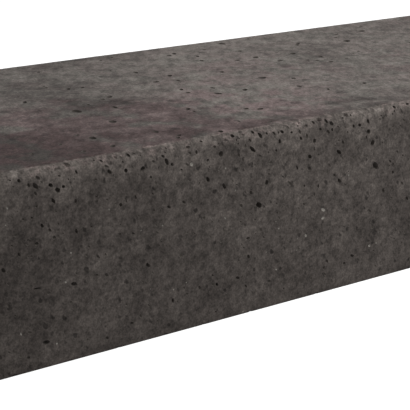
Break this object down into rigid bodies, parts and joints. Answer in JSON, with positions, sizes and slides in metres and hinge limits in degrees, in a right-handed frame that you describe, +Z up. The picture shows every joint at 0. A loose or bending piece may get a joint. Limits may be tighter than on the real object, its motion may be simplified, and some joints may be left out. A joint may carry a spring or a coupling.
{
  "type": "concrete step block",
  "caption": "Solid dark grey concrete step block: a long low slab with a flat tread, a plain riser face and rounded upper arrises.",
  "frame": {"origin": "centre of the bed face, the flat underside that the block stands on", "axes": "+X along the step from end face to end face, +Y from the riser face to the back face, +Z up from the bed face to the tread"},
  "size_m": [1, 0.35, 0.15],
  "materials": {
    "cast_concrete": "through-coloured anthracite concrete, matt, with open air voids and paler mottling on the tread"
  },
  "bodies": {
    "root": {"step_block": "cast_concrete"}
  },
  "joints": []
}
